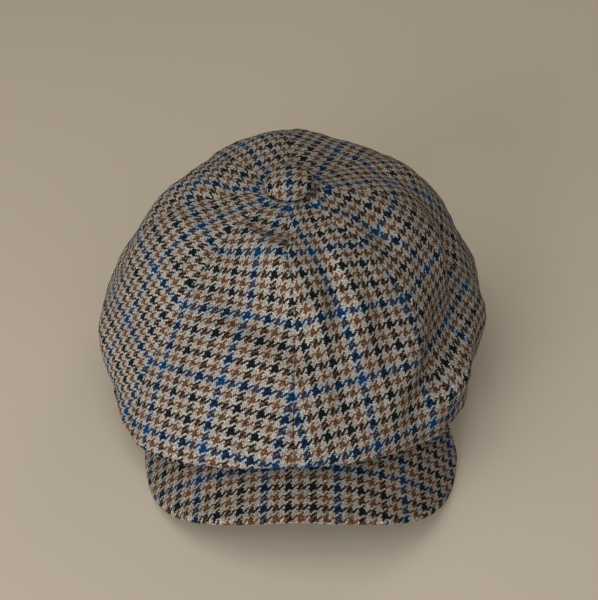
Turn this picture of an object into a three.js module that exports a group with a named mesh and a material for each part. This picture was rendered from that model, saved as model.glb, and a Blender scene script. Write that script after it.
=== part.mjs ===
import * as THREE from 'three';

// Baker boy cap in checked tweed, resting on the two corners of its peak and on the back of its band.
// Millimetres; the front faces -Y, Z is up, the origin lies under the middle of the outline.
// Azimuths are degrees from the front, positive towards +X, measured around the crown's middle.

const CROWN_AT = { x: -0.98, y: 16.71 };
const CROWN_TOP = 139.3;
const CLOTH = 2;
const GAP = 0.3;
const WALL_GAP = 0.4;
const PANEL_TIP = 5;
const PANEL_CELLS = { along: 28, across: 8 };

// Each seam runs out from the button to a crest, down to the rim, then turns under to the band.
// Its sway is how far it strays sideways, near the button and lower down.
const SEAMS = [
  { azimuth: 0, crestR: 68.5, crestZ: 137, rimR: 151, rimZ: 42, sag: 3.5, swayHigh: -5, swayLow: -3.5 },
  { azimuth: 45, crestR: 72, crestZ: 135, rimR: 134, rimZ: 14, sag: 1, swayHigh: -9, swayLow: 4 },
  { azimuth: 90, crestR: 73, crestZ: 133.5, rimR: 128, rimZ: 40, sag: 2.5, swayHigh: 0, swayLow: 0 },
  { azimuth: 135, crestR: 98.5, crestZ: 127.5, rimR: 155.5, rimZ: 22, sag: 2.5, swayHigh: 0, swayLow: 0 },
  { azimuth: 180, crestR: 88, crestZ: 142.5, rimR: 136.5, rimZ: 14, sag: 1, swayHigh: 0, swayLow: 0 },
  { azimuth: 225, crestR: 70.5, crestZ: 140, rimR: 137.5, rimZ: 18, sag: 2.5, swayHigh: 0, swayLow: 0 },
  { azimuth: 270, crestR: 81.5, crestZ: 131.5, rimR: 131, rimZ: 37, sag: 2.5, swayHigh: 0, swayLow: 0 },
  { azimuth: 315, crestR: 73.5, crestZ: 129, rimR: 144.5, rimZ: 9.5, sag: 1, swayHigh: -5.5, swayLow: -11 },
];
const SWAY = { highAt: 52, highWidth: 38, lowStart: 80, lowRise: 80, hemFade: 30, coreR: 20 };
const SEAM_STEP = 45;
const TURN = 360;
const CREST_ROUND = 0.45;
const RIM_ROUND = { slope: 0.32, under: 0.6 };
const ROUND_STEPS = 16;

// Panels belly out between their seams, from the button's edge to the turned-under hem.
const PUFF = { height: 0.7, shape: 2.5, start: 15, rise: 45, fall: 40 };

// Soft folds: place on the crown, push in (-) or out (+), half length, half width and turn of the fold.
const FOLDS = [
  { azimuth: -7, along: 40, push: -4.5, length: 17, width: 8.5, turn: 24 },
  { azimuth: -16, along: 42, push: -3, length: 13, width: 4, turn: 24 },
  { azimuth: -15, along: 98, push: -9, length: 39, width: 11.5, turn: 22 },
  { azimuth: -14, along: 106, push: -2, length: 26, width: 5, turn: 22 },
  { azimuth: -25, along: 71, push: -7, length: 46, width: 17.5, turn: 24 },
  { azimuth: 3, along: 85, push: 5.5, length: 41, width: 11, turn: 65 },
  { azimuth: 16.5, along: 91, push: -4.5, length: 53, width: 7, turn: 100 },
  { azimuth: 24, along: 90, push: 3, length: 38, width: 8, turn: 95 },
  { azimuth: 58, along: 65, push: -4, length: 18, width: 8.5, turn: 113 },
  { azimuth: 36, along: 134, push: 6.5, length: 40, width: 15.5, turn: 128 },
  { azimuth: 44, along: 143, push: -4.5, length: 32, width: 7.5, turn: 143 },
  { azimuth: 70, along: 132, push: -4.5, length: 54, width: 12, turn: 159 },
  { azimuth: 52, along: 164, push: 10, length: 37, width: 10.5, turn: 167 },
  { azimuth: 79, along: 95, push: 5, length: 21, width: 15.5, turn: 136 },
  { azimuth: 94, along: 102, push: -4, length: 50, width: 17, turn: 122 },
  { azimuth: 84, along: 158, push: 2.5, length: 20, width: 22, turn: 0 },
  { azimuth: 0, along: 188, push: 3, length: 26, width: 20, turn: 0 },
  { azimuth: 72, along: 186, push: -1, length: 20, width: 26, turn: 0 },
  { azimuth: -72, along: 186, push: -2, length: 20, width: 26, turn: 0 },
  { azimuth: 31, along: 190, push: -4.5, length: 22, width: 26, turn: 0 },
  { azimuth: -26, along: 190, push: 1, length: 24, width: 26, turn: 0 },
  { azimuth: 62, along: 172, push: -5, length: 18, width: 18, turn: 0 },
  { azimuth: -58, along: 182, push: -6.5, length: 18, width: 20, turn: 0 },
  { azimuth: 116, along: 84, push: 2, length: 28, width: 26, turn: 0 },
  { azimuth: 158, along: 82, push: -2, length: 24, width: 24, turn: 0 },
];

// Band: an upright oval wall, lifted at the front because the cap leans back on its peak.
// The soft crown has slipped a little to one side of it, so band and peak have their own place and turn.
const BAND_AT = { x: 5.2, turn: -2.1 };
const BAND = { halfWidth: 82.5, halfLength: 103.5, wall: 2.5, height: 24, frontRise: 39, segments: 64 };
const BAND_ROUND = 0.8;
const CROWN_JOIN = 9;

// Peak: a bent board, an arc of this radius from side to side, sloping down to the front.
const PEAK = { arcR: 116.3, slope: 14.4, arcTopZ: 48.7, rootRise: 6 };
const PEAK_EDGE = { halfArc: 113.8, reach: 64.6, back: 57, corner: 2.73 };
const PEAK_THICK = 4;
const PEAK_NOSE = { length: 2.4, thick: 1 };
const PEAK_END = { bandAngle: 72, edgeAngle: 84, tipStart: 0.86, tipShare: 0.12 };
const PEAK_CELLS = { stations: 36, out: 8 };
const PEAK_PACKING = 1.7;

// Button: a covered dome with its edge drawn in underneath, lower at the front where the crown falls away.
const BUTTON = { radius: 14.8, height: 11, dome: 2.2, tuckR: 13, edgeZ: 2.8, lift: 0.8 };
const BUTTON_AT = { x: -2, y: -2.5, lean: 0.13 };
const BUTTON_CELLS = { around: 24, dome: 6 };

const rad = (degrees) => (degrees * Math.PI) / (TURN / 2);
const mix = (a, b, t) => a + (b - a) * t;
const clamp01 = (t) => Math.min(Math.max(t, 0), 1);
const ease = (t) => clamp01(t) ** 2 * (3 - 2 * clamp01(t));

// A value of the seam table carried smoothly around the crown, as a closed Catmull-Rom curve.
function around(column, azimuth) {
  const place = (((azimuth % TURN) + TURN) % TURN) / SEAM_STEP;
  const row = Math.floor(place);
  const t = place - row;
  const [a, b, c, d] = [-1, 0, 1, 2].map((k) => SEAMS[(row + k + SEAMS.length) % SEAMS.length][column]);
  const cubic = (3 * b - a - 3 * c + d) * t ** 3 + (2 * a - 5 * b + 4 * c - d) * t ** 2;
  return b + ((c - a) * t + cubic) / 2;
}

// Band and peak are drawn about the band's own middle; these carry points to and from the crown's middle.
function fromBand(point) {
  const cos = Math.cos(rad(BAND_AT.turn));
  const sin = Math.sin(rad(BAND_AT.turn));
  const across = point.x * cos - point.y * sin + BAND_AT.x;
  return new THREE.Vector3(across, point.x * sin + point.y * cos, point.z);
}

function toBand(x, y) {
  const cos = Math.cos(rad(BAND_AT.turn));
  const sin = Math.sin(rad(BAND_AT.turn));
  return { x: (x - BAND_AT.x) * cos + y * sin, y: y * cos - (x - BAND_AT.x) * sin };
}

// Where a line out from the crown's middle meets the band's oval: the radius, and the place along the band.
function bandMeets(azimuth) {
  const from = toBand(0, 0);
  const to = toBand(Math.sin(rad(azimuth)), -Math.cos(rad(azimuth)));
  const way = { x: to.x - from.x, y: to.y - from.y };
  const square = (way.x / BAND.halfWidth) ** 2 + (way.y / BAND.halfLength) ** 2;
  const both = (from.x * way.x) / BAND.halfWidth ** 2 + (from.y * way.y) / BAND.halfLength ** 2;
  const rest = (from.x / BAND.halfWidth) ** 2 + (from.y / BAND.halfLength) ** 2 - 1;
  const radius = (Math.sqrt(both ** 2 - square * rest) - both) / square;
  return { radius, y: from.y + radius * way.y };
}

// Height of the band's lower edge: level across, rising evenly to the front.
const bandFoot = (y) => (BAND.frontRise * (BAND.halfLength - y)) / (2 * BAND.halfLength);

// Rounded corner: a quadratic curve that leaves one line and meets the other.
function curveThrough(from, corner, to, steps) {
  const points = [];
  for (let i = 0; i <= steps; i += 1) {
    const t = i / steps;
    const ab = from.clone().lerp(corner, t);
    points.push(ab.lerp(corner.clone().lerp(to, t), t));
  }
  return points;
}

// Half section of the crown at an azimuth, as (radius, height) points with the length run so far.
const sectionCache = new Map();
function section(azimuth) {
  if (sectionCache.has(azimuth)) return sectionCache.get(azimuth);
  const wall = bandMeets(azimuth);
  const top = new THREE.Vector2(0, CROWN_TOP);
  const crest = new THREE.Vector2(around('crestR', azimuth), around('crestZ', azimuth));
  const rim = new THREE.Vector2(around('rimR', azimuth), around('rimZ', azimuth));
  const join = new THREE.Vector2(wall.radius + WALL_GAP, bandFoot(wall.y) + CROWN_JOIN);
  const crestCut = CREST_ROUND * Math.min(crest.distanceTo(top), crest.distanceTo(rim));
  const rimCut = Math.min(RIM_ROUND.slope * rim.distanceTo(crest), RIM_ROUND.under * rim.distanceTo(join));
  const toward = (from, to, cut) => from.clone().lerp(to, cut / from.distanceTo(to));
  const hemStart = toward(rim, join, rimCut);
  const hem = [];
  for (let i = 1; i <= ROUND_STEPS; i += 1) {
    const t = i / ROUND_STEPS;
    const point = hemStart.clone().lerp(join, t);
    point.y -= around('sag', azimuth) * Math.sin(Math.PI * t) ** 2;
    hem.push(point);
  }
  const points = [
    top,
    ...curveThrough(toward(crest, top, crestCut), crest, toward(crest, rim, crestCut), ROUND_STEPS),
    ...curveThrough(toward(rim, crest, rimCut), rim, hemStart, ROUND_STEPS),
    ...hem,
  ];
  const run = [0];
  for (let i = 1; i < points.length; i += 1) run.push(run[i - 1] + points[i].distanceTo(points[i - 1]));
  const made = { points, run, length: run[run.length - 1] };
  sectionCache.set(azimuth, made);
  return made;
}

// Point of a half section at a length along it.
function sectionAt(azimuth, along) {
  const { points, run, length } = section(azimuth);
  const want = Math.min(Math.max(along, 0), length);
  let i = 1;
  while (i < run.length - 1 && run[i] < want) i += 1;
  const t = (want - run[i - 1]) / (run[i] - run[i - 1]);
  return points[i - 1].clone().lerp(points[i], t);
}

// How far the cloth stands off its section: the belly of its gore, then the folds as turned bell curves.
function pushOut(azimuth, along, length, radius) {
  const fromCentre = (((azimuth % SEAM_STEP) + SEAM_STEP) % SEAM_STEP) / SEAM_STEP;
  const across = Math.abs(2 * fromCentre - 1);
  const envelope = ease((along - PUFF.start) / PUFF.rise) * ease((length - along) / PUFF.fall);
  let push = PUFF.height * (1 - across ** PUFF.shape) * envelope;
  for (const fold of FOLDS) {
    const turned = ((azimuth - fold.azimuth + TURN + TURN / 2) % TURN) - TURN / 2;
    const side = rad(turned) * radius;
    const down = along - fold.along;
    const u = side * Math.cos(rad(fold.turn)) + down * Math.sin(rad(fold.turn));
    const v = down * Math.cos(rad(fold.turn)) - side * Math.sin(rad(fold.turn));
    push += fold.push * Math.exp(-((u / fold.length) ** 2) - (v / fold.width) ** 2);
  }
  return push;
}

// How far the cloth has strayed sideways, as an angle; it is held where it meets the band.
function swayTurn(azimuth, along, length, radius) {
  const high = around('swayHigh', azimuth) * Math.exp(-(((along - SWAY.highAt) / SWAY.highWidth) ** 2));
  const low = around('swayLow', azimuth) * ease((along - SWAY.lowStart) / SWAY.lowRise);
  return ((high + low) * ease((length - along) / SWAY.hemFade)) / Math.max(radius, SWAY.coreR);
}

// Point of the crown's outer face: the section turned to its azimuth and pushed along its own normal.
const NORMAL_STEP = 0.5;
function crownPoint(azimuth, share) {
  const { length } = section(azimuth);
  const along = mix(PANEL_TIP, length, share);
  const here = sectionAt(azimuth, along);
  const before = sectionAt(azimuth, along - NORMAL_STEP);
  const run = sectionAt(azimuth, along + NORMAL_STEP).sub(before).normalize();
  const push = pushOut(azimuth, along, length, here.x);
  const r = here.x - run.y * push;
  const z = here.y + run.x * push;
  const turn = rad(azimuth) + swayTurn(azimuth, along, length, here.x);
  return new THREE.Vector3(r * Math.sin(turn), -r * Math.cos(turn), z);
}

const NORMAL_SPAN = { turn: 0.05, share: 0.002 };
function crownNormal(azimuth, share) {
  const { turn, share: step } = NORMAL_SPAN;
  const low = Math.max(share - step, 0);
  const high = Math.min(share + step, 1);
  const down = crownPoint(azimuth, high).sub(crownPoint(azimuth, low));
  const side = crownPoint(azimuth + turn, share).sub(crownPoint(azimuth - turn, share));
  return down.cross(side).normalize();
}

// Closed wall between two grids of points that share rows and columns.
function slab(upper, lower) {
  const rows = upper.length;
  const cols = upper[0].length;
  const points = [...upper.flat(), ...lower.flat()];
  const up = (i, j) => i * cols + j;
  const low = (i, j) => (rows + i) * cols + j;
  const index = [];
  const quad = (a, b, c, d) => index.push(a, b, c, a, c, d);
  for (let i = 0; i < rows - 1; i += 1) {
    for (let j = 0; j < cols - 1; j += 1) {
      quad(up(i, j), up(i + 1, j), up(i + 1, j + 1), up(i, j + 1));
      quad(low(i, j), low(i, j + 1), low(i + 1, j + 1), low(i + 1, j));
    }
    quad(up(i, 0), low(i, 0), low(i + 1, 0), up(i + 1, 0));
    quad(up(i, cols - 1), up(i + 1, cols - 1), low(i + 1, cols - 1), low(i, cols - 1));
  }
  for (let j = 0; j < cols - 1; j += 1) {
    quad(up(0, j), up(0, j + 1), low(0, j + 1), low(0, j));
    quad(up(rows - 1, j), low(rows - 1, j), low(rows - 1, j + 1), up(rows - 1, j + 1));
  }
  return { points, index };
}

// Closed ring from a loop of points at each step around.
function ring(loops) {
  const count = loops.length;
  const size = loops[0].length;
  const index = [];
  for (let i = 0; i < count; i += 1) {
    for (let j = 0; j < size; j += 1) {
      const a = i * size + j;
      const b = ((i + 1) % count) * size + j;
      const c = ((i + 1) % count) * size + ((j + 1) % size);
      const d = i * size + ((j + 1) % size);
      index.push(a, b, c, a, c, d);
    }
  }
  return { points: loops.flat(), index };
}

// Closed solid of turning: a (radius, height) profile from the lower pole to the upper pole.
function spin(profile, steps) {
  const inner = profile.slice(1, -1);
  const points = [new THREE.Vector3(0, 0, profile[0].y)];
  for (const p of inner) {
    for (let j = 0; j < steps; j += 1) {
      const turn = (2 * Math.PI * j) / steps;
      points.push(new THREE.Vector3(p.x * Math.cos(turn), p.x * Math.sin(turn), p.y));
    }
  }
  points.push(new THREE.Vector3(0, 0, profile[profile.length - 1].y));
  const at = (i, j) => 1 + i * steps + (j % steps);
  const last = points.length - 1;
  const index = [];
  for (let j = 0; j < steps; j += 1) {
    index.push(0, at(0, j + 1), at(0, j));
    index.push(last, at(inner.length - 1, j), at(inner.length - 1, j + 1));
    for (let i = 0; i < inner.length - 1; i += 1) {
      index.push(at(i, j), at(i, j + 1), at(i + 1, j + 1));
      index.push(at(i, j), at(i + 1, j + 1), at(i + 1, j));
    }
  }
  return { points, index };
}

// Named mesh of a solid, moved from the crown's middle to its place over the origin.
function meshOf(name, solid, colour, roughness) {
  const geometry = new THREE.BufferGeometry();
  const flat = solid.points.flatMap((p) => [p.x + CROWN_AT.x, p.y + CROWN_AT.y, p.z]);
  geometry.setAttribute('position', new THREE.Float32BufferAttribute(flat, 3));
  geometry.setIndex(solid.index);
  geometry.computeVertexNormals();
  const mesh = new THREE.Mesh(geometry, new THREE.MeshStandardMaterial({ color: colour, roughness }));
  mesh.name = name;
  return mesh;
}

// One gore of the crown between two seams, its hem laid flat against the band.
function crownPanel(number) {
  const left = SEAMS[number - 1].azimuth;
  const upper = [];
  const lower = [];
  for (let i = 0; i <= PANEL_CELLS.along; i += 1) {
    const share = i / PANEL_CELLS.along;
    const outerRow = [];
    const innerRow = [];
    for (let j = 0; j <= PANEL_CELLS.across; j += 1) {
      const whole = left + (SEAM_STEP * j) / PANEL_CELLS.across;
      const middle = left + SEAM_STEP / 2;
      const radius = crownPoint(whole, share);
      const trim = (GAP / 2 / Math.hypot(radius.x, radius.y)) * (TURN / 2 / Math.PI);
      const azimuth = middle + (whole - middle) * (1 - trim / (SEAM_STEP / 2));
      const outer = crownPoint(azimuth, share);
      const inner = outer.clone().addScaledVector(crownNormal(azimuth, share), -CLOTH);
      if (i === PANEL_CELLS.along) {
        for (const point of [outer, inner]) {
          const turn = Math.atan2(point.x, -point.y);
          const wall = bandMeets((turn * TURN) / 2 / Math.PI).radius + WALL_GAP;
          point.x = wall * Math.sin(turn);
          point.y = -wall * Math.cos(turn);
        }
      }
      outerRow.push(outer);
      innerRow.push(inner);
    }
    upper.push(outerRow);
    lower.push(innerRow);
  }
  return slab(upper, lower);
}

// Lowered or lifted until its lowest points touch the table.
function settled(solid) {
  const lowest = Math.min(...solid.points.map((p) => p.z));
  solid.points.forEach((p) => { p.z -= lowest; });
  return solid;
}

// Upright ring with rounded edges, carried around the oval.
function band() {
  const { halfWidth, halfLength, wall, height, segments } = BAND;
  const loops = [];
  for (let i = 0; i < segments; i += 1) {
    const turn = (2 * Math.PI * i) / segments;
    const place = (inset, up) => {
      const x = (halfWidth - inset) * Math.sin(turn);
      const y = -(halfLength - inset) * Math.cos(turn);
      return fromBand(new THREE.Vector3(x, y, bandFoot(y) + up));
    };
    loops.push([
      place(BAND_ROUND, 0),
      place(0, BAND_ROUND),
      place(0, height - BAND_ROUND),
      place(BAND_ROUND, height),
      place(wall - BAND_ROUND, height),
      place(wall, height - BAND_ROUND),
      place(wall, BAND_ROUND),
      place(wall - BAND_ROUND, 0),
    ]);
  }
  return settled(ring(loops));
}

// Edge of the peak in its own flat shape: a broad rounded crescent bent around the arc.
function peakTip(turn) {
  const { halfArc, reach, back, corner } = PEAK_EDGE;
  const arc = halfArc * Math.sign(turn) * Math.abs(Math.sin(turn)) ** (2 / corner);
  const ahead = (reach + back) * Math.abs(Math.cos(turn)) ** (2 / corner) - back;
  const bend = arc / PEAK.arcR;
  const drop = PEAK.arcR * (1 - Math.cos(bend));
  const fall = rad(PEAK.slope);
  return new THREE.Vector3(
    PEAK.arcR * Math.sin(bend),
    -BAND.halfLength - ahead * Math.cos(fall) + drop * Math.sin(fall),
    PEAK.arcTopZ - ahead * Math.sin(fall) - drop * Math.cos(fall),
  );
}

// Upper face of the peak, ruled from its root on the band to its edge.
function peakPoint(side, out) {
  const bandTurn = rad(PEAK_END.bandAngle) * side;
  const root = new THREE.Vector3(
    (BAND.halfWidth + WALL_GAP) * Math.sin(bandTurn),
    -(BAND.halfLength + WALL_GAP) * Math.cos(bandTurn),
    0,
  );
  root.z = bandFoot(root.y) + PEAK.rootRise;
  const tip = peakTip(rad(PEAK_END.edgeAngle) * side);
  const toTip = ease((Math.abs(side) - PEAK_END.tipStart) / (1 - PEAK_END.tipStart));
  const share = mix(1, PEAK_END.tipShare, toTip);
  return root.clone().lerp(root.clone().lerp(tip, share), out);
}

// Board of even upright thickness with a thin rounded nose.
function peak() {
  const upper = [];
  const lower = [];
  for (let i = 0; i <= PEAK_CELLS.stations; i += 1) {
    const side = 1 - (2 * i) / PEAK_CELLS.stations;
    const length = peakPoint(side, 1).distanceTo(peakPoint(side, 0));
    const upperRow = [];
    const lowerRow = [];
    for (let j = 0; j <= PEAK_CELLS.out; j += 1) {
      const out = 1 - (1 - j / PEAK_CELLS.out) ** PEAK_PACKING;
      const top = peakPoint(side, out);
      const toEdge = Math.min(((1 - out) * length) / PEAK_NOSE.length, 1);
      const full = mix(PEAK_NOSE.thick, PEAK_THICK, Math.sqrt(1 - (1 - toEdge) ** 2));
      const inset = (PEAK_THICK - full) / 2;
      const high = top.clone();
      const low = top.clone();
      high.z -= inset;
      low.z += inset - PEAK_THICK;
      upperRow.push(high);
      lowerRow.push(low);
    }
    upper.push(upperRow);
    lower.push(lowerRow);
  }
  const solid = slab(upper, lower);
  solid.points = solid.points.map(fromBand);
  return settled(solid);
}

// Superellipse dome, sheared so that it leans with the crown.
function button() {
  const { radius, height, dome, tuckR, edgeZ, lift } = BUTTON;
  const base = CROWN_TOP + lift;
  const profile = [new THREE.Vector2(0, base), new THREE.Vector2(tuckR, base)];
  for (let i = 0; i <= BUTTON_CELLS.dome; i += 1) {
    const turn = (Math.PI / 2) * (i / BUTTON_CELLS.dome);
    const r = radius * Math.cos(turn) ** (2 / dome);
    const z = base + edgeZ + (height - edgeZ) * Math.sin(turn) ** (2 / dome);
    profile.push(new THREE.Vector2(i === BUTTON_CELLS.dome ? 0 : r, z));
  }
  const solid = spin(profile, BUTTON_CELLS.around);
  for (const point of solid.points) {
    point.z += BUTTON_AT.lean * point.y * clamp01((point.z - base) / edgeZ);
    point.x += BUTTON_AT.x;
    point.y += BUTTON_AT.y;
  }
  return solid;
}

const TWEED = '#8a7763';
const TWEED_DARK = '#7d6c5a';
const LINING_TAPE = '#4a4038';
const WOOL_ROUGHNESS = 0.95;

const cap = new THREE.Group();
cap.name = 'baker_boy_cap';
for (let number = 1; number <= SEAMS.length; number += 1) {
  const tone = number % 2 ? TWEED : TWEED_DARK;
  cap.add(meshOf(`crown_panel_${number}`, crownPanel(number), tone, WOOL_ROUGHNESS));
}
cap.add(meshOf('button', button(), TWEED, WOOL_ROUGHNESS));
cap.add(meshOf('peak', peak(), TWEED_DARK, WOOL_ROUGHNESS));
cap.add(meshOf('band', band(), LINING_TAPE, WOOL_ROUGHNESS));

export default cap;
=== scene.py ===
import math

import bpy
import numpy as np
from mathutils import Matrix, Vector


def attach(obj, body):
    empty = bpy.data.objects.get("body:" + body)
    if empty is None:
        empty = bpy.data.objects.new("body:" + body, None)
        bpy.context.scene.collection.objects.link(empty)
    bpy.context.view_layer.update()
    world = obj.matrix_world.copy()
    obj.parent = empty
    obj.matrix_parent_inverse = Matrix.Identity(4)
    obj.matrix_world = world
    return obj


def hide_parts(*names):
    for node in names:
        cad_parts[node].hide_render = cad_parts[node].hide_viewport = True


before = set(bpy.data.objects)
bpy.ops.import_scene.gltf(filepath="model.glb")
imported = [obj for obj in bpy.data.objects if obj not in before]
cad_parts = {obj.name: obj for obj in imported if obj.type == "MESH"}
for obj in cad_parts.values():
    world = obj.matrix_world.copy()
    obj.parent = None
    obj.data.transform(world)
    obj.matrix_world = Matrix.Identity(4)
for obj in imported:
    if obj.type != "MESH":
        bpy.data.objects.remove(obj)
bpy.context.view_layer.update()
print("frame loaded:", len(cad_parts), "nodes")

mm = 0.001
halfTurn = 180.0
seamStep = 45.0                      # degrees from one crown seam to the next
crownAt = np.array([-0.98, 16.71])   # the crown's middle in the frame, mm; forms are measured from it
tiny = 1e-9                          # keeps a division from zero
noiseMean = 0.5                      # mean of a noise value
midway = 0.5                         # between two whole numbers
waveCount = 28                       # waves in a sum, and the shares of its length between which they lie
waveShares = (0.75, 1.35)


def clearDown(t):
    # smooth step: 0 below 0, 1 above 1, with a level start and end
    t = np.clip(t, 0, 1)
    return t * t * (3 - 2 * t)


def softWaves(points, length, seed):
    # sum of plane waves of about one length in seeded directions, scaled to an even spread of 1
    draw = np.random.default_rng(seed)
    ways = draw.normal(size=(waveCount, 3))
    ways /= np.linalg.norm(ways, axis=1, keepdims=True)
    ways *= 2 * np.pi / (length * draw.uniform(*waveShares, (waveCount, 1)))
    start = draw.uniform(0, 2 * np.pi, waveCount)
    return np.cos(points @ ways.T + start).sum(-1) * math.sqrt(2 / waveCount)


def settled(points):
    # lowered or lifted until the lowest points touch the table
    points[..., 2] -= points[..., 2].min()
    return points


def gridNormals(points):
    # unit normal of a grid: along the rows crossed with along the columns
    down = np.gradient(points, axis=0)
    side = np.gradient(points, axis=1)
    out = np.cross(down, side)
    return out / np.maximum(np.linalg.norm(out, axis=2, keepdims=True), tiny)


def gridFaces(rows, cols, start=0, flip=False):
    # quads of a grid whose first point has the number start
    i, j = np.meshgrid(np.arange(rows - 1), np.arange(cols - 1), indexing="ij")
    a = start + i * cols + j
    quads = np.stack([a, a + cols, a + cols + 1, a + 1], -1).reshape(-1, 4)
    return quads[:, ::-1] if flip else quads


def stripFaces(first, second):
    # quads between two lines of point numbers
    return np.stack([first[:-1], second[:-1], second[1:], first[1:]], -1)


def shellFaces(rows, cols):
    # outer grid, inner grid turned round, and the four edges between them
    inner = rows * cols
    number = np.arange(inner).reshape(rows, cols)
    edges = [number[:, 0], number[:, -1][::-1], number[0][::-1], number[-1]]
    walls = [stripFaces(edge, edge + inner) for edge in edges]
    return np.concatenate([gridFaces(rows, cols), gridFaces(rows, cols, inner, True), *walls])


def meshPiece(name, points, faces, threads, material, nodes):
    # points in mm around the crown's middle; threads are flat cloth coordinates of points or of face corners
    place = points.reshape(-1, 3).copy()
    place[:, :2] += crownAt
    mesh = bpy.data.meshes.new(name)
    mesh.from_pydata((place * mm).tolist(), [], faces)
    corner = np.empty(len(mesh.loops), dtype=np.int32)
    mesh.loops.foreach_get("vertex_index", corner)
    layer = mesh.uv_layers.new(name="threads")
    flat = threads.reshape(-1, 2)
    flat = flat if len(flat) == len(corner) else flat[corner]
    layer.data.foreach_set("uv", flat.astype(np.float32).ravel())
    mesh.polygons.foreach_set("use_smooth", np.ones(len(mesh.polygons), dtype=bool))
    mesh.materials.append(material)
    mesh.validate()
    mesh.update()
    piece = bpy.data.objects.new(name, mesh)
    bpy.context.scene.collection.objects.link(piece)
    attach(piece, "root")
    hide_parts(*nodes)
    return piece


# Shader building blocks

mixSockets = {"share": 0, "a": 6, "b": 7, "result": 2}   # numbers of a Mix node's colour sockets


class Nodes:
    def __init__(self, tree):
        self.tree = tree

    def add(self, kind, **values):
        node = self.tree.nodes.new(kind)
        for key, value in values.items():
            setattr(node, key, value)
        return node

    def feed(self, socket, value):
        if isinstance(value, bpy.types.NodeSocket):
            self.tree.links.new(value, socket)
        elif value is not None:
            socket.default_value = value

    def math(self, operation, a, b=None, c=None):
        node = self.add("ShaderNodeMath", operation=operation)
        for socket, value in zip(node.inputs, (a, b, c)):
            self.feed(socket, value)
        return node.outputs[0]

    def wrap(self, a, period):
        # a less the whole periods in it
        whole = self.math("FLOOR", self.math("DIVIDE", a, period))
        return self.math("SUBTRACT", a, self.math("MULTIPLY", whole, period))

    def held(self, a):
        # a, no lower than 0 and no higher than 1
        return self.math("MINIMUM", self.math("MAXIMUM", a, 0.0), 1.0)

    def offMean(self, noise):
        # a noise value less its mean
        return self.math("SUBTRACT", noise, noiseMean)

    def choose(self, share, a, b):
        node = self.add("ShaderNodeMix", data_type="FLOAT")
        self.feed(node.inputs["Factor"], share)
        self.feed(node.inputs["A"], a)
        self.feed(node.inputs["B"], b)
        return node.outputs[0]

    def colour(self, share, a, b, blend="MIX"):
        node = self.add("ShaderNodeMix", data_type="RGBA", blend_type=blend)
        self.feed(node.inputs[mixSockets["share"]], share)
        self.feed(node.inputs[mixSockets["a"]], a)
        self.feed(node.inputs[mixSockets["b"]], b)
        return node.outputs[mixSockets["result"]]

    def shaded(self, colour, shares):
        # a colour times one share for each of its channels
        even = self.add("ShaderNodeCombineColor")
        for socket, share in zip(even.inputs, shares):
            self.feed(socket, share)
        return self.colour(1.0, colour, even.outputs[0], "MULTIPLY")

    def vector(self, x, y, z=0.0):
        node = self.add("ShaderNodeCombineXYZ")
        for socket, value in zip(node.inputs, (x, y, z)):
            self.feed(socket, value)
        return node.outputs[0]

    def noise(self, vector, scale, detail=2.0, rough=0.55):
        node = self.add("ShaderNodeTexNoise", noise_dimensions="3D")
        self.feed(node.inputs["Vector"], vector)
        self.feed(node.inputs["Scale"], scale)
        self.feed(node.inputs["Detail"], detail)
        self.feed(node.inputs["Roughness"], rough)
        return node.outputs["Fac"]

    def dice(self, vector):
        node = self.add("ShaderNodeTexWhiteNoise", noise_dimensions="2D")
        self.feed(node.inputs["Vector"], vector)
        return node.outputs["Value"]


def newGroup(name, inputs, outputs):
    # an empty node group with its named sockets
    tree = bpy.data.node_groups.new(name, "ShaderNodeTree")
    for label, kind, value in inputs:
        socket = tree.interface.new_socket(label, in_out="INPUT", socket_type=kind)
        if value is not None:
            socket.default_value = value
    for label, kind in outputs:
        tree.interface.new_socket(label, in_out="OUTPUT", socket_type=kind)
    build = Nodes(tree)
    return build, build.add("NodeGroupInput"), build.add("NodeGroupOutput")


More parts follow.
